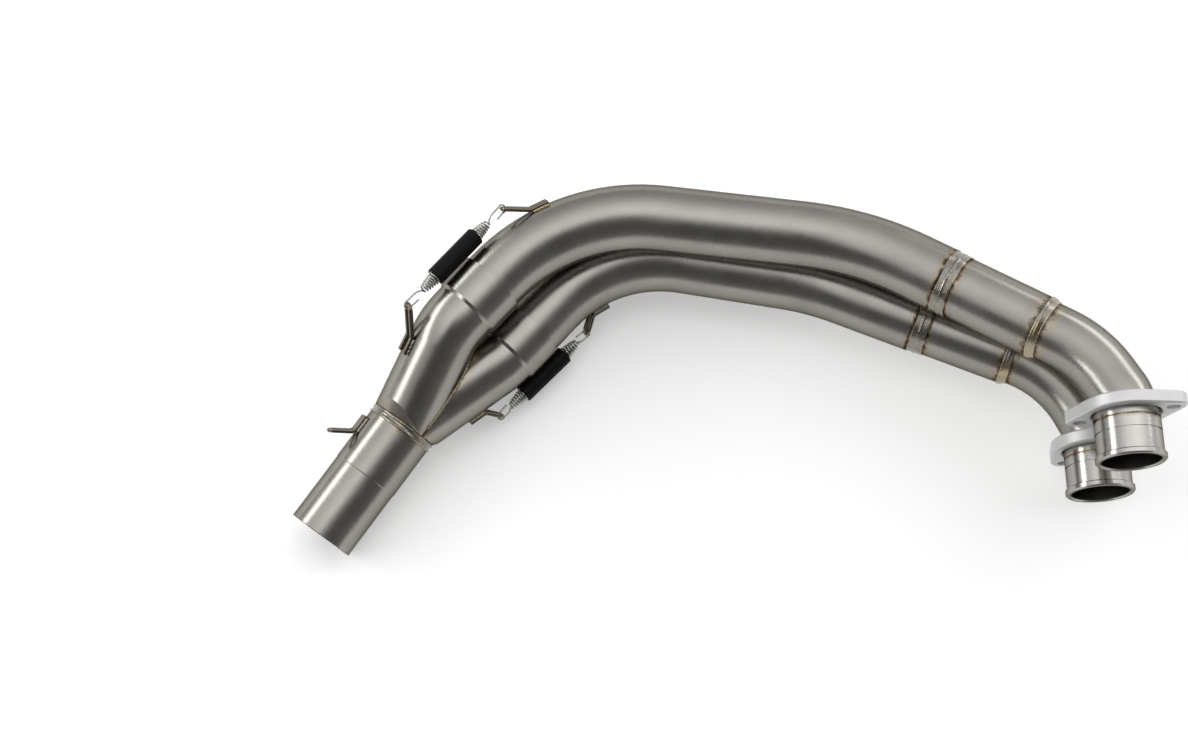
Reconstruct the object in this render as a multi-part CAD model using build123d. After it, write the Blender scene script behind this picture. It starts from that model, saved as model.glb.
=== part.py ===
from build123d import *
import os
from math import cos, radians, sin, sqrt, tan

# Two-into-one motorcycle exhaust header, laid flat. Lengths in mm, angles in degrees.
# Pipe A is the upper one and pipe B the lower one, next to the floor.

# Tubes, outside diameters
WALL = 1.2
BEND_OD = 37.0
HEAD_OD = 42.0
MID_OD = HEAD_OD - 2.0
OUTLET_OD = HEAD_OD + 2.0

# Heights of the two pipes' middles, A nested a little into the hollow beside B
LEVEL_B = 22.4
NESTING = 1.6
LEVEL_A = LEVEL_B + HEAD_OD - NESTING
DIP_DROP = 4.8

# Mouth of port A from below the collector ring, and how far pipe B's lies from it
PORT_REACH = 442.3
PORT_ASIDE = 62.8
PORT_HEIGHT = 97.0
PORT_SPACING = 64.2

# Bend corners of the two pipes, measured from below the collector ring. The corners at the port end
# move with the ports, so the straight runs between crest and turn take up a change of reach.
PORT_A = Vector(PORT_REACH, -PORT_ASIDE, PORT_HEIGHT)
PORT_B = PORT_A + Vector(-6.7, -2.0, -PORT_SPACING)
KNEE_A = PORT_A + Vector(-16.8, 72.8, -5.5)
KNEE_B = PORT_B + Vector(-18.0, 81.3, -1.6)
CREST_A = Vector(PORT_REACH - 146.3, 98.4, LEVEL_A)
CREST_B = Vector(PORT_REACH - 173.5, 87.3, 21.6)
TURN_A = Vector(109.2, 129.2, LEVEL_A)
TURN_B = Vector(135.6, 115.5, LEVEL_B)
DIP_A = Vector(33.9, 54.2, LEVEL_A - DIP_DROP)
DIP_B = Vector(64.0, 42.8, LEVEL_B)
RING_CENTRE = Vector(0.0, 0.0, LEVEL_B)
OUTLET_HEADING = Vector(-0.625, -0.769, -0.127).normalized()

# Centreline radii of the bends
THROAT_RADIUS = 22.0
KNEE_RADIUS = 76.0
CREST_RADIUS = 160.0
TURN_RADIUS_A = 122.0
TURN_RADIUS_B = 92.0
DIP_RADIUS = 36.0

# Port sleeves
SLEEVE_OD = 40.8
SLEEVE_LENGTH = 34.0
LIP_OD = 43.2
LIP_WIDTH = 4.0
MOUTH_BORE = 36.0
MOUTH_DEPTH = 7.0
GROOVE_FROM_LIP = 16.5
GROOVE_WIDTH = 0.9
GROOVE_DEPTH = 0.5
THROAT_FROM_LIP = 39.7

# Loose two-bolt flanges
FLANGE_THICKNESS = 8.0
FLANGE_FROM_LIP_A = 29.5
FLANGE_FROM_LIP_B = 27.6
FLANGE_PLAY = 0.7
FLANGE_BOSS_RADIUS = 27.5
FLANGE_EAR_RADIUS = 8.5
BOLT_SPACING = 58.0
BOLT_HOLE = 8.5
FLANGE_EDGE = 0.9
FLANGE_TURN_A = 27.0
FLANGE_TURN_B = 57.0

# Welded rings where the tube size steps up
STEP_RING_WIDTH = 4.5
STEP_RING_PAST_BEND_A = 9.8
STEP_RING_PAST_BEND_B = 0.9
JOINT_RING_WIDTH = 10.5
JOINT_RING_FROM_KNEE_A = 90.0
JOINT_RING_FROM_KNEE_B = 84.5
RING_PROUD = 0.4

# Slip joints at the collector
SOCKET_LENGTH = 22.5
SOCKET_TAPER = 2.0
SLIP_CLEARANCE = 0.2
HEAD_END_GAP = 1.5
MOUTH_FROM_TURN_A = 67.5
MOUTH_FROM_TURN_B = 73.3

# Collector and outlet
MERGE_PAST_RING = 2.0
NECK_LENGTH = 14.0
NECK_SLOPE = 0.75
COLLECTOR_RING_WIDTH = 5.0
OUTLET_LENGTH = 81.5
SLIP_END_LENGTH = 46.0
SLIP_END_STEP = 0.3

# Spring hooks, bent from wire
HOOK_WIRE = 3.0
HOOK_GAP = 7.6
HOOK_BEND = 4.0
WELD_GAP = 0.05
HOOK_LEG = 12.0

# Springs and their rubber sleeves
SPRING_WIRE = 1.3
COIL_OD = 9.6
COIL_TIP_OD = 4.4
CONE_LENGTH = 11.0
CONE_TURNS = 7
EYE_CLEARANCE = 0.45
EYE_TAIL = 7.0
RUBBER_OD = 12.0
RUBBER_LENGTH = 38.0
RUBBER_CLEARANCE = 0.2

UP = Vector(0, 0, 1)
PORT_HEADING = Vector(0, 1, 0)


def unit(start, end):
    return (end - start).normalized()


def toward(start, end, distance):
    return start + unit(start, end) * distance


def tube(path, outside, inside):
    section = Plane(origin=path @ 0, z_dir=path % 0)
    return sweep(section * (Circle(outside / 2) - Circle(inside / 2)), path=path)


def rod(path, diameter):
    section = Plane(origin=path @ 0, z_dir=path % 0)
    return sweep(section * Circle(diameter / 2), path=path)


def turned(profile_points, origin, heading):
    profile = make_face(Polyline(*profile_points, close=True))
    blank = revolve(Plane.XZ * profile, axis=Axis.Z)
    return Plane(origin=origin, z_dir=heading).location * blank


def port_sleeve(port):
    lip = LIP_OD / 2
    barrel = SLEEVE_OD / 2
    groove_end = GROOVE_FROM_LIP + GROOVE_WIDTH
    points = [
        (MOUTH_BORE / 2 + 0.8, 0.0),
        (lip - 0.8, 0.0),
        (lip, 0.8),
        (lip, LIP_WIDTH - 0.8),
        (barrel, LIP_WIDTH),
        (barrel, GROOVE_FROM_LIP),
        (barrel - GROOVE_DEPTH, GROOVE_FROM_LIP),
        (barrel - GROOVE_DEPTH, groove_end),
        (barrel, groove_end),
        (barrel, SLEEVE_LENGTH),
        (BEND_OD / 2 - WALL, SLEEVE_LENGTH),
        (BEND_OD / 2 - WALL, MOUTH_DEPTH),
        (MOUTH_BORE / 2, MOUTH_DEPTH),
        (MOUTH_BORE / 2, 0.8),
    ]
    return turned(points, port, PORT_HEADING)


def flange(port, turn, from_lip):
    reach = BOLT_SPACING / 2
    boss = Circle(FLANGE_BOSS_RADIUS)
    ears = Locations((reach, 0), (-reach, 0)) * Circle(FLANGE_EAR_RADIUS)
    outline = make_hull(Sketch(children=[boss, *ears]).edges())
    plate = extrude(outline, amount=FLANGE_THICKNESS)
    rims = plate.edges().filter_by(Axis.Z, reverse=True)
    plate = chamfer(rims, length=FLANGE_EDGE)
    bore = SLEEVE_OD / 2 + FLANGE_PLAY
    plate -= extrude(Circle(bore), amount=FLANGE_THICKNESS)
    plate -= Cone(bore + FLANGE_EDGE, bore, FLANGE_EDGE, align=(Align.CENTER, Align.CENTER, Align.MIN))
    drill = Cylinder(BOLT_HOLE / 2, FLANGE_THICKNESS, align=(Align.CENTER, Align.CENTER, Align.MIN))
    plate -= Locations((reach, 0), (-reach, 0)) * drill
    seat = Plane(origin=port + PORT_HEADING * from_lip, x_dir=(-1, 0, 0), z_dir=PORT_HEADING)
    return seat.location * Rot(0, 0, -turn) * plate


def bend_end(port, knee, crest):
    """How far past the knee's corner its bend runs out into the straight."""
    throat = port + PORT_HEADING * THROAT_FROM_LIP
    turn = unit(throat, knee).get_angle(unit(knee, crest))
    return KNEE_RADIUS * tan(radians(turn) / 2)


def port_bend(port, knee, crest, step_at):
    start = port + PORT_HEADING * SLEEVE_LENGTH
    throat = port + PORT_HEADING * THROAT_FROM_LIP
    end = toward(knee, crest, step_at)
    path = FilletPolyline(start, throat, knee, end, radius=(THROAT_RADIUS, KNEE_RADIUS))
    return tube(path, BEND_OD, BEND_OD - 2 * WALL)


def step_ring(knee, crest, step_at):
    origin = toward(knee, crest, step_at)
    small = BEND_OD / 2
    large = MID_OD / 2
    points = [
        (small - WALL, 0.0),
        (small + RING_PROUD, 0.0),
        (large + RING_PROUD, STEP_RING_WIDTH * 0.6),
        (large + RING_PROUD, STEP_RING_WIDTH),
        (large - WALL, STEP_RING_WIDTH),
    ]
    return turned(points, origin, unit(knee, crest))


def mid_tube(knee, crest, step_at, joint_ring_at):
    start = toward(knee, crest, step_at + STEP_RING_WIDTH)
    end = toward(knee, crest, joint_ring_at)
    return tube(Line(start, end), MID_OD, MID_OD - 2 * WALL)


def joint_ring(knee, crest, joint_ring_at):
    origin = toward(knee, crest, joint_ring_at)
    small = MID_OD / 2
    large = HEAD_OD / 2
    points = [
        (small - WALL, 0.0),
        (small + RING_PROUD, 0.0),
        (large - RING_PROUD, 1.2),
        (large - RING_PROUD, JOINT_RING_WIDTH - 1.2),
        (large + RING_PROUD, JOINT_RING_WIDTH),
        (large - WALL, JOINT_RING_WIDTH),
        (large - WALL, JOINT_RING_WIDTH - 1.2),
        (small - WALL, 1.2),
    ]
    return turned(points, origin, unit(knee, crest))


def head_path(knee, crest, turn, dip, joint_ring_at, turn_radius, mouth_at):
    start = toward(knee, crest, joint_ring_at + JOINT_RING_WIDTH)
    end = toward(turn, dip, mouth_at + SOCKET_LENGTH - HEAD_END_GAP)
    return FilletPolyline(start, crest, turn, end, radius=(CREST_RADIUS, turn_radius))


def branch_body(turn, dip, mouth_at, socket_od, tube_od):
    tube_start = SOCKET_LENGTH + SOCKET_TAPER
    points = [
        (0.0, 0.0),
        (socket_od / 2, 0.0),
        (socket_od / 2, SOCKET_LENGTH),
        (tube_od / 2, tube_start),
        (0.0, tube_start),
    ]
    socket = turned(points, toward(turn, dip, mouth_at), unit(turn, dip))
    past_merge = toward(dip, MERGE, (MERGE - dip).length + 30)
    path = FilletPolyline(toward(turn, dip, mouth_at + tube_start), dip, past_merge, radius=DIP_RADIUS)
    return socket + rod(path, tube_od)


def neck_cutter(inset):
    small = OUTLET_OD / 2 - inset
    large = small + NECK_LENGTH * NECK_SLOPE
    seat = (Align.CENTER, Align.CENTER, Align.MIN)
    drum = Cylinder(large + 40, NECK_LENGTH, align=seat) - Cone(small, large, NECK_LENGTH, align=seat)
    return Plane(origin=RING_INLET, z_dir=-OUTLET_HEADING).location * drum


def collector_branch(turn, dip, mouth_at, side):
    bore = HEAD_OD + 2 * SLIP_CLEARANCE
    shell = branch_body(turn, dip, mouth_at, bore + 2 * WALL, HEAD_OD) - neck_cutter(0)
    hollow = branch_body(turn, dip, mouth_at, bore, HEAD_OD - 2 * WALL) - neck_cutter(WALL)
    shell = split(shell, Plane(origin=MERGE, z_dir=MERGE_NORMAL * side), keep=Keep.TOP)
    shell = split(shell, Plane(origin=RING_INLET, z_dir=-OUTLET_HEADING), keep=Keep.TOP)
    return shell - hollow


def collector_ring():
    outside = OUTLET_OD / 2
    inside = outside - WALL
    width = COLLECTOR_RING_WIDTH
    points = [
        (inside, 0.0),
        (outside + RING_PROUD, 0.0),
        (outside + RING_PROUD, width * 0.3),
        (outside, width * 0.4),
        (outside, width * 0.6),
        (outside + RING_PROUD, width * 0.7),
        (outside + RING_PROUD, width),
        (inside, width),
    ]
    return turned(points, RING_INLET, OUTLET_HEADING)


def outlet_tube():
    outside = OUTLET_OD / 2
    inside = outside - WALL
    shoulder = OUTLET_LENGTH - SLIP_END_LENGTH
    points = [
        (inside, 0.0),
        (outside, 0.0),
        (outside, shoulder - 0.5),
        (outside - SLIP_END_STEP, shoulder),
        (outside - SLIP_END_STEP, OUTLET_LENGTH),
        (inside, OUTLET_LENGTH),
    ]
    return turned(points, RING_OUTLET, OUTLET_HEADING)


class Hook:
    """A wire hook welded on a tube: two legs along the tube and a loop that stands off it.

    axis_point is on the tube's axis at the middle of the legs, along points to the loop, lean turns
    the loop up or down round the tube, and seat_sag lifts straight legs clear of a hollow bend.
    """

    def __init__(self, axis_point, along, lean, tube_od, reach, rise, seat_sag=0.0):
        sideways = along.cross(UP).normalized()
        upward = sideways.cross(along).normalized()
        self.along = along
        self.out = sideways * cos(radians(lean)) + upward * sin(radians(lean))
        self.side = along.cross(self.out)
        half = HOOK_GAP / 2
        surface = tube_od / 2
        lift = sqrt((surface + HOOK_WIRE / 2 + WELD_GAP) ** 2 - half ** 2) - surface
        base = axis_point + self.out * (surface + lift + seat_sag)
        self.tip = axis_point + along * (HOOK_LEG / 2 + reach) + self.out * (surface + rise)
        corners = []
        for sign in (1, -1):
            offset = self.side * half * sign
            heel = base - along * (HOOK_LEG / 2) + offset
            knee = base + along * (HOOK_LEG / 2) + offset
            corners.append([heel, knee, self.tip + offset])
        points = corners[0] + corners[1][::-1]
        radii = (HOOK_BEND, half - 0.05, half - 0.05, HOOK_BEND)
        self.solid = rod(FilletPolyline(*points, radius=radii), HOOK_WIRE)


def mirror_lean(hook_angle):
    return 180 - hook_angle


def spring_coil(half_body):
    """One revolved half of the coil, from its middle to the tip."""
    tip = half_body + CONE_LENGTH
    pitch = CONE_LENGTH / CONE_TURNS
    narrowing = (COIL_OD - COIL_TIP_OD) / 2
    outer = [(COIL_OD / 2, 0.0), (COIL_OD / 2, half_body)]
    for turn in range(CONE_TURNS):
        crest = COIL_OD / 2 - narrowing * (turn + 0.5) / CONE_TURNS
        outer.append((crest - 0.55, half_body + pitch * turn + 0.1))
        outer.append((crest, half_body + pitch * (turn + 0.5)))
    outer.append((COIL_TIP_OD / 2 - 0.5, tip))
    inner = [
        (0.0, tip),
        (0.0, tip - SPRING_WIRE),
        (COIL_TIP_OD / 2 - SPRING_WIRE, tip - SPRING_WIRE),
        (COIL_OD / 2 - SPRING_WIRE, half_body),
        (COIL_OD / 2 - SPRING_WIRE, 0.0),
    ]
    return revolve(Plane.XZ * make_face(Polyline(*outer, *inner, close=True)), axis=Axis.Z)


def spring_eye(hook, axis, coil_tip_distance):
    """Wire from the coil tip round the hook, in the plane square to the hook's loop."""
    across = (hook.out - axis * hook.out.dot(axis)).normalized()
    bend = HOOK_WIRE / 2 + EYE_CLEARANCE + SPRING_WIRE / 2

    def place(forward, sideways):
        return hook.tip + axis * forward + across * sideways

    points = [
        place(coil_tip_distance + SPRING_WIRE / 2, 0.0),
        place(coil_tip_distance - 1.0, 0.0),
        place(bend + 1.0, bend),
        place(-bend, bend),
        place(-bend, -bend),
        place(EYE_TAIL, -bend),
    ]
    return rod(FilletPolyline(*points, radius=(1.5, 1.5, bend - 0.03, bend - 0.03)), SPRING_WIRE)


def spring(lower, upper):
    axis = unit(lower.tip, upper.tip)
    length = (upper.tip - lower.tip).length
    half_body = RUBBER_LENGTH / 2
    eye_reach = length / 2 - half_body - CONE_LENGTH
    middle = (lower.tip + upper.tip) * 0.5
    half = spring_coil(half_body)
    coil = half + Rot(180, 0, 0) * half
    coil = Plane(origin=middle, z_dir=axis).location * coil
    coil += spring_eye(lower, axis, eye_reach)
    coil += spring_eye(upper, -axis, eye_reach)
    return coil


def spring_sleeve(lower, upper):
    axis = unit(lower.tip, upper.tip)
    middle = (lower.tip + upper.tip) * 0.5
    inside = COIL_OD / 2 + RUBBER_CLEARANCE
    outside = RUBBER_OD / 2
    half = RUBBER_LENGTH / 2
    points = [
        (inside, -half),
        (outside - 0.6, -half),
        (outside, -half + 0.6),
        (outside, half - 0.6),
        (outside - 0.6, half),
        (inside, half),
    ]
    return turned(points, middle, axis)


# The collector's merge plane lies between the two branches, which meet on the outlet axis
RING_INLET = RING_CENTRE - OUTLET_HEADING * (COLLECTOR_RING_WIDTH / 2)
RING_OUTLET = RING_CENTRE + OUTLET_HEADING * (COLLECTOR_RING_WIDTH / 2)
MERGE = RING_CENTRE + OUTLET_HEADING * MERGE_PAST_RING
MERGE_NORMAL = (unit(MERGE, DIP_A) - unit(MERGE, DIP_B)).normalized()

STEP_AT_A = bend_end(PORT_A, KNEE_A, CREST_A) + STEP_RING_PAST_BEND_A
STEP_AT_B = bend_end(PORT_B, KNEE_B, CREST_B) + STEP_RING_PAST_BEND_B
head_a = head_path(KNEE_A, CREST_A, TURN_A, DIP_A, JOINT_RING_FROM_KNEE_A, TURN_RADIUS_A, MOUTH_FROM_TURN_A)
head_b = head_path(KNEE_B, CREST_B, TURN_B, DIP_B, JOINT_RING_FROM_KNEE_B, TURN_RADIUS_B, MOUTH_FROM_TURN_B)

# Hooks: where on the pipe, which way the loop points, and how it leans round the tube
HOOK_A_UPPER_BACK = 70.2
HOOK_A_LOWER_DOWN = 19.0
HOOK_B_UPPER_BACK = 68.5
HOOK_B_LOWER_DOWN = 32.5
HOOK_OUTLET_DOWN = 13.5


def on_path(path, back_from_end):
    share = 1 - back_from_end / path.length
    return path @ share, path % share


point, heading = on_path(head_a, HOOK_A_UPPER_BACK)
hook_a_upper = Hook(point, heading, 28, HEAD_OD, 16.0, 9.3)
point, heading = on_path(head_b, HOOK_B_UPPER_BACK)
hook_b_upper = Hook(point, heading, mirror_lean(-33), HEAD_OD, 9.0, 10.5, seat_sag=0.3)
point = toward(DIP_A, MERGE, HOOK_A_LOWER_DOWN)
hook_a_lower = Hook(point, unit(MERGE, DIP_A), mirror_lean(40), HEAD_OD, 18.0, 11.5)
point = toward(DIP_B, MERGE, HOOK_B_LOWER_DOWN)
hook_b_lower = Hook(point, unit(MERGE, DIP_B), -33, HEAD_OD, 8.0, 10.0)
point = RING_CENTRE + OUTLET_HEADING * HOOK_OUTLET_DOWN
hook_outlet = Hook(point, OUTLET_HEADING, 24, OUTLET_OD, 8.7, 14.0)

nodes = {
    "port_sleeve_a": port_sleeve(PORT_A),
    "port_sleeve_b": port_sleeve(PORT_B),
    "flange_a": flange(PORT_A, FLANGE_TURN_A, FLANGE_FROM_LIP_A),
    "flange_b": flange(PORT_B, FLANGE_TURN_B, FLANGE_FROM_LIP_B),
    "port_bend_a": port_bend(PORT_A, KNEE_A, CREST_A, STEP_AT_A),
    "port_bend_b": port_bend(PORT_B, KNEE_B, CREST_B, STEP_AT_B),
    "step_ring_a": step_ring(KNEE_A, CREST_A, STEP_AT_A),
    "step_ring_b": step_ring(KNEE_B, CREST_B, STEP_AT_B),
    "mid_tube_a": mid_tube(KNEE_A, CREST_A, STEP_AT_A, JOINT_RING_FROM_KNEE_A),
    "mid_tube_b": mid_tube(KNEE_B, CREST_B, STEP_AT_B, JOINT_RING_FROM_KNEE_B),
    "joint_ring_a": joint_ring(KNEE_A, CREST_A, JOINT_RING_FROM_KNEE_A),
    "joint_ring_b": joint_ring(KNEE_B, CREST_B, JOINT_RING_FROM_KNEE_B),
    "head_tube_a": tube(head_a, HEAD_OD, HEAD_OD - 2 * WALL),
    "head_tube_b": tube(head_b, HEAD_OD, HEAD_OD - 2 * WALL),
    "collector_branch_a": collector_branch(TURN_A, DIP_A, MOUTH_FROM_TURN_A, 1),
    "collector_branch_b": collector_branch(TURN_B, DIP_B, MOUTH_FROM_TURN_B, -1),
    "collector_ring": collector_ring(),
    "outlet_tube": outlet_tube(),
    "spring_hook_a_upper": hook_a_upper.solid,
    "spring_hook_a_lower": hook_a_lower.solid,
    "spring_hook_b_upper": hook_b_upper.solid,
    "spring_hook_b_lower": hook_b_lower.solid,
    "outlet_hook": hook_outlet.solid,
    "spring_a": spring(hook_a_lower, hook_a_upper),
    "spring_b": spring(hook_b_lower, hook_b_upper),
    "spring_sleeve_a": spring_sleeve(hook_a_lower, hook_a_upper),
    "spring_sleeve_b": spring_sleeve(hook_b_lower, hook_b_upper),
}

# The part's origin is the bottom centre of its box
box = Compound(children=[Part() + solid for solid in nodes.values()]).bounding_box()
SHIFT = Vector(-(box.min.X + box.max.X) / 2, -(box.min.Y + box.max.Y) / 2, -box.min.Z)

os.makedirs("parts", exist_ok=True)
for name, solid in nodes.items():
    export_step(Location(SHIFT) * solid, f"parts/{name}.step")
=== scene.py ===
import math

import bpy
from mathutils import Matrix, Vector, noise


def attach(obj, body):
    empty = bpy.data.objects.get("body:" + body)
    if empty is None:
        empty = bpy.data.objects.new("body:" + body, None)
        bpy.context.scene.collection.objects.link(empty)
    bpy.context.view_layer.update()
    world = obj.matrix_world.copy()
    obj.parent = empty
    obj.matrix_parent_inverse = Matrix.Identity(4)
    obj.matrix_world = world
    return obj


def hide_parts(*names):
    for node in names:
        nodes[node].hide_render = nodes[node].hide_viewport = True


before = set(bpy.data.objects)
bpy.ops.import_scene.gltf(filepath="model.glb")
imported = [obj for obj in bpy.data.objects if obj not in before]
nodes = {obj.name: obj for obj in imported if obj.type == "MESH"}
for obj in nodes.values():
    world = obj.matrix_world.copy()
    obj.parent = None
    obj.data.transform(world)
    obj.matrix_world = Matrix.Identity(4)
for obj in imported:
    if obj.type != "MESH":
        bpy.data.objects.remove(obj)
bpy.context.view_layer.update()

# Sizes of part.py, in metres
BEND_R = 0.0185
MID_R = 0.020
TUBE_R = 0.021
OUTLET_R = 0.022
THROAT_FROM_LIP = 0.0397
KNEE_RADIUS = 0.076
TURN_RADIUS = {"a": 0.122, "b": 0.092}
HEAD_END_FROM_TURN = {"a": 0.0885, "b": 0.0943}
STEP_RING_WIDTH = 0.0045
STEP_RING_PAST_BEND = {"a": 0.0098, "b": 0.0009}
JOINT_RING_WIDTH = 0.0105
JOINT_RING_FROM_KNEE = {"a": 0.090, "b": 0.0845}
COLLECTOR_RING_WIDTH = 0.005
MERGE_PAST_RING = 0.002
MOUTH_R = 0.018
HOOK_LEG = 0.012
HOOK_GAP = 0.0076
HOOK_WIRE_R = 0.0015
COIL_R = 0.00415
CONE_LENGTH = 0.011
RUBBER_LENGTH = 0.038
EYE_CLEARANCE = 0.00045
EYE_TAIL = 0.0070

# The wound springs, which are drawn here with thinner wire than the closed coils of part.py
SPRING_WIRE_R = 0.00060
COIL_TIP_R = 0.00170
CONE_TURNS = 6
CONE_FULLNESS = 0.55
BODY_TURNS = 24
TURN_STEPS = 16
EYE_FROM_COIL = 0.0015
EYE_SPACING = 0.0004

# part.py measures its corners from a point below the collector ring. Where that lies in the frame, in mm
SHIFT = Vector((-203.580, -31.571, 9.802))
UP = Vector((0.0, 0.0, 1.0))
PORT_AXIS = Vector((0.0, 1.0, 0.0))


def at(x, y, z):
    """A point of part.py's route, given in mm, in the frame."""
    return (Vector((x, y, z)) + SHIFT) / 1000


def unit(start, end):
    return (end - start).normalized()


# Corners of the two pipes
PORT = {"a": at(442.3, -62.8, 97.0), "b": at(435.6, -64.8, 32.8)}
KNEE = {"a": at(425.5, 10.0, 91.5), "b": at(417.6, 16.5, 31.2)}
CREST = {"a": at(296.0, 98.4, 62.8), "b": at(268.8, 87.3, 21.6)}
TURN = {"a": at(109.2, 129.2, 62.8), "b": at(135.6, 115.5, 22.4)}
DIP = {"a": at(33.9, 54.2, 58.0), "b": at(64.0, 42.8, 22.4)}
RING = at(0.0, 0.0, 22.4)
OUTLET = Vector((-0.625, -0.769, -0.127)).normalized()
MERGE = RING + OUTLET * MERGE_PAST_RING


def step_ring_ends(side):
    """Both ends of the ring behind the port bend, on the tube's axis."""
    throat = PORT[side] + PORT_AXIS * THROAT_FROM_LIP
    heading = unit(KNEE[side], CREST[side])
    bend_end = KNEE_RADIUS * math.tan(unit(throat, KNEE[side]).angle(heading) / 2)
    start = KNEE[side] + heading * (bend_end + STEP_RING_PAST_BEND[side])
    return start, start + heading * STEP_RING_WIDTH


def joint_ring_ends(side):
    """Both ends of the wider ring in front of the head tube, on the tube's axis."""
    heading = unit(KNEE[side], CREST[side])
    start = KNEE[side] + heading * JOINT_RING_FROM_KNEE[side]
    return start, start + heading * JOINT_RING_WIDTH


def on_turn(side, back_from_end):
    """Point on the axis of the head tube's last bend, back from the tube's end, and the heading there."""
    before = unit(CREST[side], TURN[side])
    after = unit(TURN[side], DIP[side])
    radius = TURN_RADIUS[side]
    tangent = radius * math.tan(before.angle(after) / 2)
    inward = (after * before.dot(after) - before).normalized()
    centre = TURN[side] + after * tangent + inward * radius
    angle = (back_from_end - HEAD_END_FROM_TURN[side] + tangent) / radius
    point = centre - (inward * math.cos(angle) + after * math.sin(angle)) * radius
    return point, after * math.cos(angle) - inward * math.sin(angle)


def on_branch(side, past_dip):
    """Point on the branch's axis, from its dip towards the merge, and the heading back to the dip."""
    heading = unit(MERGE, DIP[side])
    return DIP[side] - heading * past_dip, heading


class Hook:
    """A spring hook, placed as part.py places it.

    axis_point is on the tube's axis at the middle of the legs, along points to the loop and lean turns
    the hook round the tube, in degrees. The loop stands reach past the legs and rise off the tube.
    """

    def __init__(self, axis_point, along, lean, tube_r, reach, rise):
        sideways = along.cross(UP).normalized()
        upward = sideways.cross(along).normalized()
        self.axis_point = axis_point
        self.along = along
        self.tube_r = tube_r
        self.out = sideways * math.cos(math.radians(lean)) + upward * math.sin(math.radians(lean))
        self.foot = axis_point + self.out * tube_r
        self.tip = self.foot + along * (HOOK_LEG / 2 + reach) + self.out * rise


HOOKS = {
    "a_upper": Hook(*on_turn("a", 0.0702), 28, TUBE_R, 0.016, 0.0093),
    "b_upper": Hook(*on_turn("b", 0.0685), 213, TUBE_R, 0.009, 0.0105),
    "a_lower": Hook(*on_branch("a", 0.019), 140, TUBE_R, 0.018, 0.0115),
    "b_lower": Hook(*on_branch("b", 0.0325), -33, TUBE_R, 0.008, 0.010),
    "outlet": Hook(RING + OUTLET * 0.0135, OUTLET, 24, OUTLET_R, 0.0087, 0.014),
}


# Node trees


class Nodes:
    """Small helper round one node tree."""

    def __init__(self, tree):
        self.tree = tree

    def node(self, kind, **values):
        made = self.tree.nodes.new(kind)
        for key, value in values.items():
            setattr(made, key, value)
        return made

    def link(self, source, target):
        self.tree.links.new(source, target)

    def feed(self, sockets, values):
        for socket, value in zip(sockets, values):
            if isinstance(value, bpy.types.NodeSocket):
                self.link(value, socket)
            else:
                socket.default_value = value

    def maths(self, operation, *values):
        made = self.node("ShaderNodeMath", operation=operation)
        self.feed(made.inputs, values)
        return made.outputs[0]

    def plus(self, first, second):
        return self.maths("ADD", first, second)

    def times(self, first, second):
        return self.maths("MULTIPLY", first, second)

    def between(self, value, low, high, to_low, to_high, smooth=False):
        made = self.node("ShaderNodeMapRange", interpolation_type="SMOOTHSTEP" if smooth else "LINEAR")
        self.feed(made.inputs, (value, low, high, to_low, to_high))
        return made.outputs[0]

    def spread(self, value, to_low, to_high):
        """The usual range of a noise, spread from to_low to to_high."""
        return self.between(value, 0.3, 0.7, to_low, to_high)


class Shader(Nodes):
    """Node tree of a new material round its Principled BSDF."""

    BUMP_DEPTH = 0.0002

    def __init__(self, name):
        self.material = bpy.data.materials.new(name)
        self.material.use_nodes = True
        super().__init__(self.material.node_tree)
        self.bsdf = self.tree.nodes["Principled BSDF"]
        self.place = self.node("ShaderNodeTexCoord").outputs["Object"]

    def vector(self, operation, *values):
        made = self.node("ShaderNodeVectorMath", operation=operation)
        self.feed(made.inputs, values)
        return made.outputs["Value" if operation in ("DOT_PRODUCT", "LENGTH") else "Vector"]

    def noise(self, scale, detail=3.0, stretch=None):
        made = self.node("ShaderNodeTexNoise")
        made.inputs["Scale"].default_value = scale
        made.inputs["Detail"].default_value = detail
        place = self.vector("MULTIPLY", self.place, stretch) if stretch else self.place
        self.link(place, made.inputs["Vector"])
        return made.outputs["Fac"]

    def mix(self, factor, first, second):
        """Colour between first and second. Each is a socket or a plain colour."""
        made = self.node("ShaderNodeMix", data_type="RGBA")
        first, second = [(*c, 1.0) if isinstance(c, tuple) else c for c in (first, second)]
        self.feed((made.inputs[0], made.inputs[6], made.inputs[7]), (factor, first, second))
        return made.outputs[2]

    def ramp(self, value, stops):
        made = self.node("ShaderNodeValToRGB")
        elements = made.color_ramp.elements
        while len(elements) < len(stops):
            elements.new(0.5)
        for element, (position, colour) in zip(elements, stops):
            element.position = position
            element.color = (*colour, 1.0)
        self.link(value, made.inputs[0])
        return made.outputs[0]

    def bump(self, height, strength):
        made = self.node("ShaderNodeBump")
        made.inputs["Strength"].default_value = strength
        made.inputs["Distance"].default_value = self.BUMP_DEPTH
        self.link(height, made.inputs["Height"])
        self.link(made.outputs[0], self.bsdf.inputs["Normal"])

    def set_surface(self, colour, roughness, metallic):
        self.link(colour, self.bsdf.inputs["Base Color"])
        self.link(roughness, self.bsdf.inputs["Roughness"])
        self.bsdf.inputs["Metallic"].default_value = metallic


# Materials

# Base colours
PIPE = (0.295, 0.284, 0.264)
SLEEVE = (0.42, 0.41, 0.39)
BORE = (0.10, 0.095, 0.088)
EDGE_TINT = (0.35, 0.33, 0.30, 1.0)
WELD = (0.275, 0.262, 0.236)
GOLD = (0.40, 0.33, 0.20)
HOOK_WIRE = (0.17, 0.150, 0.120)
SPRING_WIRE = (0.45, 0.44, 0.41)
ALUMINIUM = ((0.56, 0.56, 0.555), (0.62, 0.62, 0.62))
RUBBER = ((0.003, 0.003, 0.0033), (0.006, 0.006, 0.0065))

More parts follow.
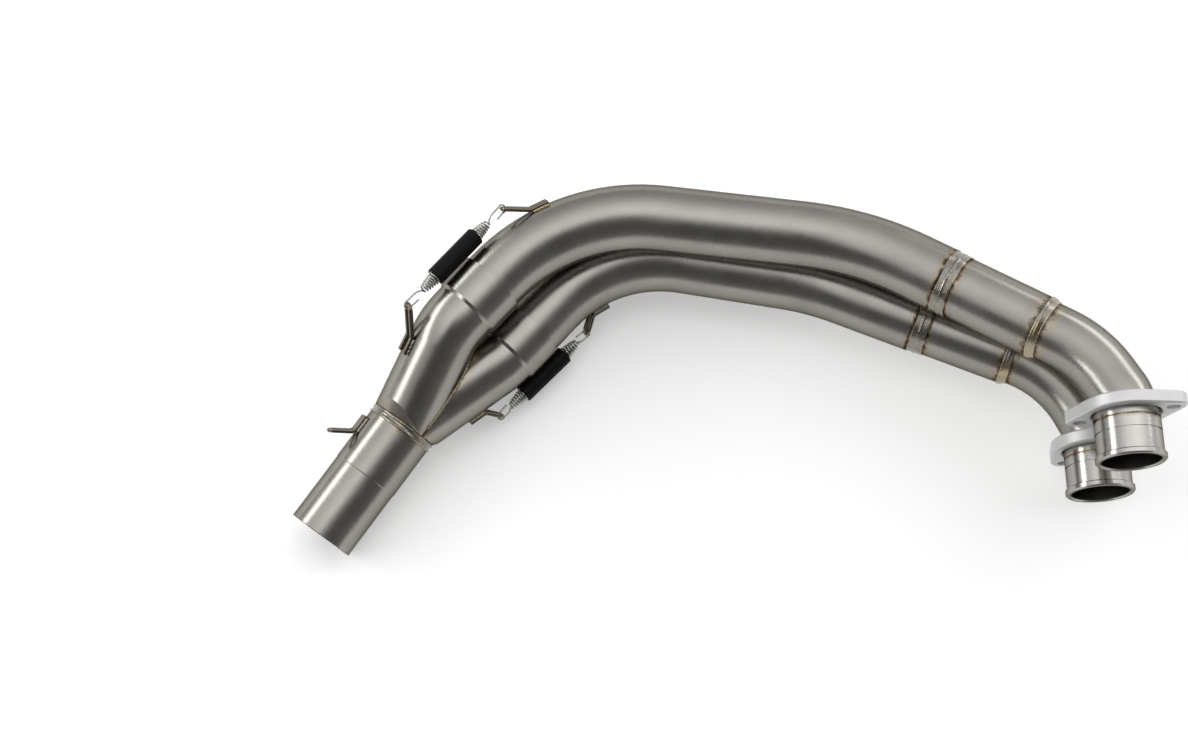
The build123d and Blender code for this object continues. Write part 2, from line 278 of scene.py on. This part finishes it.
# Heat colours and how far from the weld each starts, as a share of the tint's reach
HEAT_STOPS = [
    (0.0, (0.050, 0.040, 0.032)),
    (0.16, (0.130, 0.095, 0.065)),
    (0.42, (0.330, 0.270, 0.175)),
    (0.85, (0.225, 0.200, 0.190)),
]

# A painted shade line round each port sleeve, where the flange's shadow falls in front of it, from its lip
SLEEVE_SHADE_LINE = {"a": 0.0251, "b": 0.0232}

# Reach of the heat colours, of the dark lines beside welds and of the painted shade line on each sleeve
STEP_HEAT = 0.010
JOINT_HEAT = 0.0050
HOOK_HEAT = 0.011
BRANCH_HEAT = 0.009
SEAM_HEAT = 0.004
OUTLET_HEAT = 0.008
LINE_REACH = 0.0022
HEAT_WOBBLE = 0.22

PIPE_ROUGH = 0.27
COLLECTOR_ROUGH = 0.25
SLEEVE_ROUGH = 0.16
BORE_EDGE = 0.0004
BORE_ROUGHER = 0.2
RIPPLES_PER_METRE = 5200.0


def tinted(s, base, tints):
    """Heat colours over base. Each tint is (point, direction, reach, strength).

    With a direction it is a band round the tube at the point, and without one it is a round spot.
    """
    wobble = s.spread(s.noise(240.0), -HEAT_WOBBLE, HEAT_WOBBLE)
    for point, direction, reach, strength in tints:
        offset = s.vector("SUBTRACT", s.place, point)
        if direction is None:
            distance = s.vector("LENGTH", offset)
        else:
            distance = s.maths("ABSOLUTE", s.vector("DOT_PRODUCT", offset, direction))
        share = s.plus(s.maths("DIVIDE", distance, reach), wobble)
        fade = s.between(share, 0.0, 1.0, strength, 0.0)
        base = s.mix(fade, base, s.ramp(share, HEAT_STOPS))
    return base


def satin(s, colour, rough):
    """Colour and roughness that drift over satin metal, and the fine grain in it."""
    grain = s.noise(1500.0, 2.0)
    drift = s.spread(s.noise(26.0), 0.93, 1.05)
    value = s.times(drift, s.spread(grain, 0.95, 1.05))
    shade = s.node("ShaderNodeCombineColor")
    for i in range(3):
        s.link(s.times(value, colour[i]), shade.inputs[i])
    roughness = s.spread(s.noise(60.0, 4.0), rough - 0.03, rough + 0.04)
    return shade.outputs[0], roughness, grain


def tube_steel(name, rough, tints):
    """Satin tube steel with heat colours beside its welds."""
    s = Shader(name)
    colour, roughness, grain = satin(s, PIPE, rough)
    s.set_surface(tinted(s, colour, tints), roughness, 1.0)
    s.bsdf.inputs["Specular Tint"].default_value = EDGE_TINT
    s.bump(grain, 0.10)
    return s.material


def turned_steel(name, side):
    """Turned steel of a port sleeve: lathe lines, a painted shade line round it in front of the flange, and
    a darker bore.
    """
    s = Shader(name)
    colour, roughness, _ = satin(s, SLEEVE, SLEEVE_ROUGH)
    # Painted shade: a dark line just in front of the flange, where its shadow falls, drawn with the heat
    # colours
    shade_line = PORT[side] + PORT_AXIS * SLEEVE_SHADE_LINE[side]
    colour = tinted(s, colour, [(shade_line, PORT_AXIS, LINE_REACH, 1.0)])
    # Darker and rougher inside the bore
    offset = s.vector("SUBTRACT", s.place, PORT[side])
    radial = s.vector("LENGTH", s.vector("MULTIPLY", offset, (1.0, 0.0, 1.0)))
    inside = s.between(radial, MOUTH_R, MOUTH_R + BORE_EDGE, 1.0, 0.0)
    s.set_surface(s.mix(inside, colour, BORE), s.plus(roughness, s.times(inside, BORE_ROUGHER)), 1.0)
    s.bsdf.inputs["Specular Tint"].default_value = EDGE_TINT
    s.bump(s.noise(1.0, 2.0, stretch=(40.0, 5200.0, 40.0)), 0.16)
    return s.material


def weld_steel(name, point, direction, golden, tints=()):
    """Weld metal with fine ripples round the tube and heat colours. golden is the share of gold in it."""
    s = Shader(name)
    along = s.vector("DOT_PRODUCT", s.vector("SUBTRACT", s.place, point), direction)
    mottle = s.between(s.noise(420.0, 2.0), 0.35, 0.65, 0.0, 1.0)
    tone = s.mix(mottle, tuple(c * 0.72 for c in WELD), WELD)
    tone = s.mix(s.between(s.noise(55.0, 2.0), 0.40, 0.60, 0.0, golden), tone, GOLD)
    s.set_surface(tinted(s, tone, tints), s.spread(s.noise(300.0), 0.18, 0.30), 1.0)
    ripples = s.maths("SINE", s.times(along, RIPPLES_PER_METRE))
    s.bump(s.plus(s.times(ripples, 0.5), s.noise(900.0)), 0.30)
    return s.material


def satin_aluminium():
    s = Shader("satin_aluminium")
    colour = s.mix(s.noise(50.0), *ALUMINIUM)
    s.set_surface(colour, s.spread(s.noise(90.0), 0.46, 0.56), 0.75)
    s.bump(s.noise(900.0), 0.10)
    return s.material


def wire(name, colour, rough):
    s = Shader(name)
    tone = s.mix(s.noise(300.0, 2.0), colour, tuple(c * 0.7 for c in colour))
    s.set_surface(tone, s.spread(s.noise(500.0), rough - 0.04, rough + 0.06), 1.0)
    return s.material


def black_rubber():
    s = Shader("black_rubber")
    colour = s.mix(s.noise(200.0), *RUBBER)
    s.set_surface(colour, s.spread(s.noise(350.0), 0.50, 0.64), 0.0)
    s.bsdf.inputs["Specular IOR Level"].default_value = 0.10
    s.bump(s.noise(1500.0), 0.15)
    return s.material


def paint(node, material):
    mesh = nodes[node].data
    mesh.materials.clear()
    mesh.materials.append(material)


# Mesh pieces

BEAD_WIDTH = 0.0016
BEAD_HEIGHT = 0.0005
BEAD_LIFT = 0.0002
COLLECTOR_BEAD_LIFT = 0.0003
JOINT_BEAD_WIDTH = 0.0024
JOINT_BEAD_SUNK = 0.0006
HOOK_BEAD_R = 0.0011
SEAM_BEAD_R = 0.0010
SEAM_REACH = 0.0655
STEP_RIPPLES = (56, 58)
JOINT_RIPPLES = 60
COLLECTOR_RIPPLES = 64

# Where the collector's beads lie, as a share of its ring's width from the middle
COLLECTOR_BEAD_SHARE = 0.35

# Beads at a hook's feet: how far aside of its middle, and their start and points along the leg
HOOK_BEAD_ASIDE = HOOK_GAP / 2 + HOOK_WIRE_R * 0.9
HOOK_BEAD_START = 0.45
LEG_STEPS = 16


def make_object(name, points, faces, material):
    mesh = bpy.data.meshes.new(name)
    mesh.from_pydata([tuple(p) for p in points], [], faces)
    mesh.validate()
    mesh.materials.append(material)
    for face in mesh.polygons:
        face.use_smooth = True
    made = bpy.data.objects.new(name, mesh)
    bpy.context.collection.objects.link(made)
    return made


def across(direction):
    """Two unit vectors square to direction and to each other."""
    helper = UP if abs(direction.z) < 0.9 else Vector((1.0, 0.0, 0.0))
    first = direction.cross(helper).normalized()
    return first, direction.cross(first).normalized()


def ring_bead(name, centre, axis, radius, width, height, ripples, material):
    """A closed weld bead round a tube, with overlapping ripples like fish scales."""
    first, second = across(axis)
    ripple_steps, sides = 6, 8
    around = ripples * ripple_steps
    points, faces = [], []
    for i in range(around):
        angle = 2 * math.pi * i / around
        share = (i % ripple_steps) / ripple_steps
        lump = 0.72 + 0.28 * math.sin(math.pi * (0.25 + 0.75 * share))
        sway = 0.12 * noise.noise(Vector((math.cos(angle) * 4, math.sin(angle) * 4, radius * 900)))
        outward = first * math.cos(angle) + second * math.sin(angle)
        for j in range(sides):
            turn = 2 * math.pi * j / sides
            rise = height * lump * math.sin(turn)
            drift = width / 2 * (math.cos(turn) * (0.9 + 0.1 * lump) + sway)
            points.append(centre + outward * (radius + rise) + axis * drift)
    for i in range(around):
        for j in range(sides):
            k, m = (i + 1) % around, (j + 1) % sides
            faces.append((i * sides + j, k * sides + j, k * sides + m, i * sides + m))
    bead = make_object(name, points, faces, material)
    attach(bead, "header")
    return bead


def swept(name, route, radius, material, ripple=0.0):
    """Round wire along route, closed at both ends. ripple swells it like a weld bead."""
    sides = 8
    points, faces = [], []
    first, _ = across(unit(route[0], route[1]))
    for i, centre in enumerate(route):
        heading = unit(route[max(i - 1, 0)], route[min(i + 1, len(route) - 1)])
        first = (first - heading * first.dot(heading)).normalized()
        second = heading.cross(first)
        swell = radius * (1 + ripple * ((i % 4) / 3 - 0.5))
        for j in range(sides):
            turn = 2 * math.pi * j / sides
            points.append(centre + (first * math.cos(turn) + second * math.sin(turn)) * swell)
    for i in range(len(route) - 1):
        for j in range(sides):
            m = (j + 1) % sides
            faces.append((i * sides + j, i * sides + m, (i + 1) * sides + m, (i + 1) * sides + j))
    faces.append(tuple(range(sides))[::-1])
    last = (len(route) - 1) * sides
    faces.append(tuple(range(last, last + sides)))
    return make_object(name, points, faces, material)


def smooth_route(corners, spacing):
    """Points of a rounded curve through the corners."""
    padded = [corners[0]] + list(corners) + [corners[-1]]
    route = []
    for i in range(1, len(padded) - 2):
        p0, p1, p2, p3 = padded[i - 1:i + 3]
        steps = max(2, int((p2 - p1).length / spacing))
        for step in range(steps):
            t = step / steps
            bend = (2 * p0 - 5 * p1 + 4 * p2 - p3) * t ** 2 + (3 * p1 - p0 - 3 * p2 + p3) * t ** 3
            route.append(0.5 * (2 * p1 + (p2 - p0) * t + bend))
    route.append(corners[-1])
    return route


def eye_route(hook, axis, coil_tip):
    """Wire of a spring's eye, from the coil's tip round the hook. axis points from the hook to the coil."""
    square = (hook.out - axis * hook.out.dot(axis)).normalized()
    bend = HOOK_WIRE_R + EYE_CLEARANCE + SPRING_WIRE_R

    def place(forward, sideways):
        return hook.tip + axis * forward + square * sideways

    corners = [place(coil_tip - EYE_FROM_COIL, COIL_TIP_R * 0.4), place((coil_tip + bend) * 0.5, bend * 0.8)]
    for degrees in range(60, 301, 20):
        turn = math.radians(degrees)
        corners.append(place(math.cos(turn) * bend, math.sin(turn) * bend))
    corners.append(place(EYE_TAIL / 2, -bend * 0.95))
    corners.append(place(EYE_TAIL, -bend * 1.05))
    return smooth_route(corners, EYE_SPACING)


def cone_radius(share):
    """Coil radius on a tapered end, at share of the way from its tip to the straight body."""
    return COIL_TIP_R + (COIL_R - COIL_TIP_R) * share ** CONE_FULLNESS


def coil_route(middle, axis):
    """Wire of the coil: a tapered end, the straight body below the rubber and a tapered end."""
    first, second = across(axis)
    half = RUBBER_LENGTH / 2
    tip = half + CONE_LENGTH
    turns = BODY_TURNS + 2 * CONE_TURNS
    route = []
    for i in range(turns * TURN_STEPS + 1):
        turn = i / TURN_STEPS
        if turn < CONE_TURNS:
            share = turn / CONE_TURNS
            along, radius = CONE_LENGTH * share - tip, cone_radius(share)
        elif turn > turns - CONE_TURNS:
            share = (turns - turn) / CONE_TURNS
            along, radius = tip - CONE_LENGTH * share, cone_radius(share)
        else:
            along, radius = RUBBER_LENGTH * (turn - CONE_TURNS) / BODY_TURNS - half, COIL_R
        angle = 2 * math.pi * turn
        route.append(middle + axis * along + (first * math.cos(angle) + second * math.sin(angle)) * radius)
    return route


def spring(side, material):
    """Wound spring in place of the CAD node's closed coil."""
    lower, upper = HOOKS[f"{side}_lower"], HOOKS[f"{side}_upper"]
    axis = unit(lower.tip, upper.tip)
    coil_tip = (upper.tip - lower.tip).length / 2 - RUBBER_LENGTH / 2 - CONE_LENGTH
    route = eye_route(lower, axis, coil_tip)[::-1]
    route += coil_route((lower.tip + upper.tip) * 0.5, axis)
    route += eye_route(upper, -axis, coil_tip)
    made = swept(f"spring_{side}_wound", route, SPRING_WIRE_R, material)
    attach(made, "header")
    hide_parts(f"spring_{side}")
    return made


def hook_beads(name, material):
    """Short weld beads outside both legs of a hook, half sunk in its tube."""
    hook = HOOKS[name]
    beside = hook.along.cross(hook.out)
    for sign in (-1, 1):
        offset = HOOK_BEAD_ASIDE * sign
        outward = hook.out * math.sqrt(hook.tube_r ** 2 - offset ** 2) + beside * offset
        foot = hook.axis_point + outward * (1 + BEAD_LIFT / hook.tube_r)
        shares = [step / LEG_STEPS - HOOK_BEAD_START for step in range(LEG_STEPS - 1)]
        route = [foot + hook.along * (HOOK_LEG * share) for share in shares]
        bead = swept(f"hook_bead_{name}_{sign + 2}", route, HOOK_BEAD_R, material, 0.25)
        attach(bead, "header")


def seam_bead(material):
    """The weld where the two branches meet, along the curve that both tubes share."""
    toward_a, toward_b = unit(MERGE, DIP["a"]), unit(MERGE, DIP["b"])
    middle = (toward_a + toward_b).normalized()
    half = math.acos(toward_a.dot(middle))
    aside = (toward_a - toward_b).normalized().cross(middle)
    route = []
    for degrees in range(-78, 79):
        t = math.radians(degrees)
        reach = min(TUBE_R / math.sin(half) * math.cos(t), SEAM_REACH)
        route.append(MERGE + middle * reach + aside * (TUBE_R * math.sin(t)))
    bead = swept("merge_seam_bead", route, SEAM_BEAD_R, material, 0.3)
    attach(bead, "header")


# Sky, floor, lamps and camera

# The sky's lit side is at the back. EDGE_ABOVE_LEFT brings its edge forward high up on the left
SKY_LEVEL = 1.55
SKY_TILT = 14.0
SKY_EDGE = (-0.16, 0.26)
EDGE_ABOVE_LEFT = 2.0
LIT_LOW = 0.42
LIT_RISE = 0.35
LIT_OVERHEAD = 0.65
LIT_RIGHT = 0.7
DARK_HIGH = 0.09
DARK_LOW = 0.13
DARK_RIGHT = 0.04

FLOOR_SIZE = 30.0
FLOOR_DROP = 0.0004
FLOOR_COLOUR = (0.80, 0.80, 0.795, 1.0)
FLOOR_LIFT = 0.28

# The photo's width and focal length in pixels, and the camera round its target
PHOTO_WIDTH = 1188.0
PHOTO_FOCAL = 2552.0
SENSOR_WIDTH = 36.0
CAMERA_AZIMUTH = -2.5
CAMERA_ELEVATION = 72.0
CAMERA_DISTANCE = 1.65
CAMERA_TARGET = at(124.0, 39.7, 0.0)


def sky():
    """Studio sky: a wide soft light overhead and to the back, dark towards the camera's side."""
    made = bpy.data.worlds.new("studio")
    bpy.context.scene.world = made
    made.use_nodes = True
    s = Nodes(made.node_tree)
    s.tree.nodes.clear()
    split = s.node("ShaderNodeSeparateXYZ")
    s.link(s.node("ShaderNodeTexCoord").outputs["Generated"], split.inputs[0])
    x, y, z = split.outputs[0], split.outputs[1], split.outputs[2]
    right = s.maths("MAXIMUM", x, 0.0)
    left = s.maths("MAXIMUM", s.times(x, -1.0), 0.0)
    height = s.maths("MAXIMUM", z, 0.0)
    low = s.maths("SUBTRACT", 1.0, height)

    tilt = math.radians(SKY_TILT)
    backward = s.plus(s.times(y, math.cos(tilt)), s.times(height, math.sin(tilt)))
    overhead_left = s.times(left, s.maths("POWER", height, 3.0))
    backward = s.plus(backward, s.times(overhead_left, EDGE_ABOVE_LEFT))
    lit = s.between(backward, *SKY_EDGE, 0.0, 1.0, smooth=True)

    squared = s.times(height, height)
    bright = s.plus(LIT_LOW, s.times(squared, LIT_RISE))
    bright = s.plus(bright, s.times(s.times(squared, squared), LIT_OVERHEAD))
    bright = s.times(bright, s.plus(1.0, s.times(right, LIT_RIGHT)))
    dark = s.plus(DARK_HIGH, s.times(s.times(low, low), DARK_LOW))
    dark = s.plus(dark, s.times(right, DARK_RIGHT))
    lifted = s.times(s.maths("SUBTRACT", bright, dark), lit)

    background = s.node("ShaderNodeBackground")
    s.link(s.times(s.plus(dark, lifted), SKY_LEVEL), background.inputs["Strength"])
    s.link(background.outputs[0], s.node("ShaderNodeOutputWorld").inputs["Surface"])


def floor():
    bpy.ops.mesh.primitive_plane_add(size=FLOOR_SIZE, location=(0.0, 0.0, -FLOOR_DROP))
    plane = bpy.context.object
    plane.name = "floor"
    s = Shader("pale_floor")
    s.bsdf.inputs["Base Color"].default_value = FLOOR_COLOUR
    s.bsdf.inputs["Roughness"].default_value = 0.9
    s.bsdf.inputs["Specular IOR Level"].default_value = 0.1
    path = s.node("ShaderNodeLightPath")
    seen = s.maths("MAXIMUM", path.outputs["Is Camera Ray"], path.outputs["Is Glossy Ray"])
    seen = s.maths("MAXIMUM", seen, path.outputs["Is Transmission Ray"])
    s.bsdf.inputs["Emission Color"].default_value = (1.0, 1.0, 1.0, 1.0)
    s.link(s.times(seen, FLOOR_LIFT), s.bsdf.inputs["Emission Strength"])
    plane.data.materials.append(s.material)


def lamp(name, place, target, width, height, radiance):
    data = bpy.data.lights.new(name, "AREA")
    data.shape = "RECTANGLE"
    data.size = width
    data.size_y = height
    data.energy = radiance * math.pi * width * height
    made = bpy.data.objects.new(name, data)
    made.location = place
    made.rotation_euler = (Vector(target) - Vector(place)).to_track_quat("-Z", "Y").to_euler()
    made.visible_camera = False
    bpy.context.collection.objects.link(made)


def camera():
    azimuth, elevation = math.radians(CAMERA_AZIMUTH), math.radians(CAMERA_ELEVATION)
    ahead = Vector((-math.sin(azimuth), math.cos(azimuth), 0.0))
    look = ahead * math.cos(elevation) - UP * math.sin(elevation)
    data = bpy.data.cameras.new("camera")
    data.sensor_width = SENSOR_WIDTH
    data.lens = SENSOR_WIDTH * PHOTO_FOCAL / PHOTO_WIDTH
    made = bpy.data.objects.new("camera", data)
    made.location = CAMERA_TARGET - look * CAMERA_DISTANCE
    right = look.cross(UP).normalized()
    upward = right.cross(look)
    made.rotation_euler = Matrix((right, upward, -look)).transposed().to_euler()
    bpy.context.collection.objects.link(made)
    bpy.context.scene.camera = made


# The header's pieces


def dress_pipe(side):
    """Steel, weld rings and weld beads of one pipe, from its port to the collector."""
    heading = unit(KNEE[side], CREST[side])
    step, joint = step_ring_ends(side), joint_ring_ends(side)
    seam = (unit(MERGE, DIP["a"]) - unit(MERGE, DIP["b"])).normalized()
    bend_tints = [(step[0], heading, STEP_HEAT, 0.9)]
    mid_tints = [(step[1], heading, STEP_HEAT, 0.9), (joint[0], heading, JOINT_HEAT, 1.0)]
    head_tints = [(joint[1], heading, JOINT_HEAT, 1.0), (HOOKS[f"{side}_upper"].foot, None, HOOK_HEAT, 0.8)]
    branch_tints = [
        (RING, OUTLET, BRANCH_HEAT, 0.8),
        (MERGE, seam, SEAM_HEAT, 0.9),
        (HOOKS[f"{side}_lower"].foot, None, HOOK_HEAT, 0.8),
    ]
    paint(f"port_bend_{side}", tube_steel(f"bend_steel_{side}", PIPE_ROUGH, bend_tints))
    paint(f"mid_tube_{side}", tube_steel(f"mid_steel_{side}", PIPE_ROUGH, mid_tints))
    paint(f"head_tube_{side}", tube_steel(f"head_steel_{side}", PIPE_ROUGH, head_tints))
    paint(f"collector_branch_{side}", tube_steel(f"branch_steel_{side}", COLLECTOR_ROUGH, branch_tints))
    paint(f"port_sleeve_{side}", turned_steel(f"sleeve_steel_{side}", side))
    step_weld = weld_steel(f"step_weld_{side}", step[0], heading, 0.9)
    joint_lines = [(end, heading, LINE_REACH, 1.0) for end in joint]
    joint_weld = weld_steel(f"joint_weld_{side}", joint[0], heading, 0.1, joint_lines)
    paint(f"step_ring_{side}", step_weld)
    paint(f"joint_ring_{side}", joint_weld)
    for i, tube_r in enumerate((BEND_R, MID_R)):
        name, radius = f"step_bead_{side}_{i + 1}", tube_r + BEAD_LIFT
        ring_bead(name, step[i], heading, radius, BEAD_WIDTH, BEAD_HEIGHT, STEP_RIPPLES[i], step_weld)
    middle = (joint[0] + joint[1]) / 2
    name, radius = f"joint_bead_{side}", TUBE_R - JOINT_BEAD_SUNK
    ring_bead(name, middle, heading, radius, JOINT_BEAD_WIDTH, BEAD_HEIGHT, JOINT_RIPPLES, joint_weld)
    hook_beads(f"{side}_upper", step_weld)
    hook_beads(f"{side}_lower", step_weld)


def dress_collector():
    """Weld metal of the merge and steel of the outlet."""
    weld = weld_steel("collector_weld", RING, OUTLET, 0.5)
    paint("collector_ring", weld)
    for sign in (-1, 1):
        centre = RING + OUTLET * (COLLECTOR_RING_WIDTH * COLLECTOR_BEAD_SHARE * sign)
        name, radius = f"collector_bead_{sign + 2}", OUTLET_R + COLLECTOR_BEAD_LIFT
        ring_bead(name, centre, OUTLET, radius, BEAD_WIDTH, BEAD_HEIGHT, COLLECTOR_RIPPLES, weld)
    hook_beads("outlet", weld)
    seam_bead(weld)
    tints = [(RING, OUTLET, OUTLET_HEAT, 0.7), (HOOKS["outlet"].foot, None, HOOK_HEAT, 0.8)]
    paint("outlet_tube", tube_steel("outlet_steel", COLLECTOR_ROUGH, tints))


def dress_fittings():
    """Flanges, hooks, springs and the rubber on them."""
    aluminium = satin_aluminium()
    hook_wire = wire("hook_wire", HOOK_WIRE, 0.20)
    spring_wire = wire("spring_wire", SPRING_WIRE, 0.13)
    rubber = black_rubber()
    for node in nodes:
        if node.startswith("flange"):
            paint(node, aluminium)
        elif "hook" in node:
            paint(node, hook_wire)
        elif node.startswith("spring_sleeve"):
            paint(node, rubber)
    for side in "ab":
        spring(side, spring_wire)


sky()
floor()
lamp("left strip", (-1.34, 0.38, 0.76), target=(0.0, 0.0, 0.0), width=2.1, height=0.34, radiance=5.0)
lamp("right strip", (1.25, 1.05, 0.62), target=(0.15, 0.0, 0.05), width=1.5, height=0.42, radiance=3.2)
camera()
bpy.context.scene.view_settings.view_transform = "Standard"
for side in "ab":
    dress_pipe(side)
dress_collector()
dress_fittings()
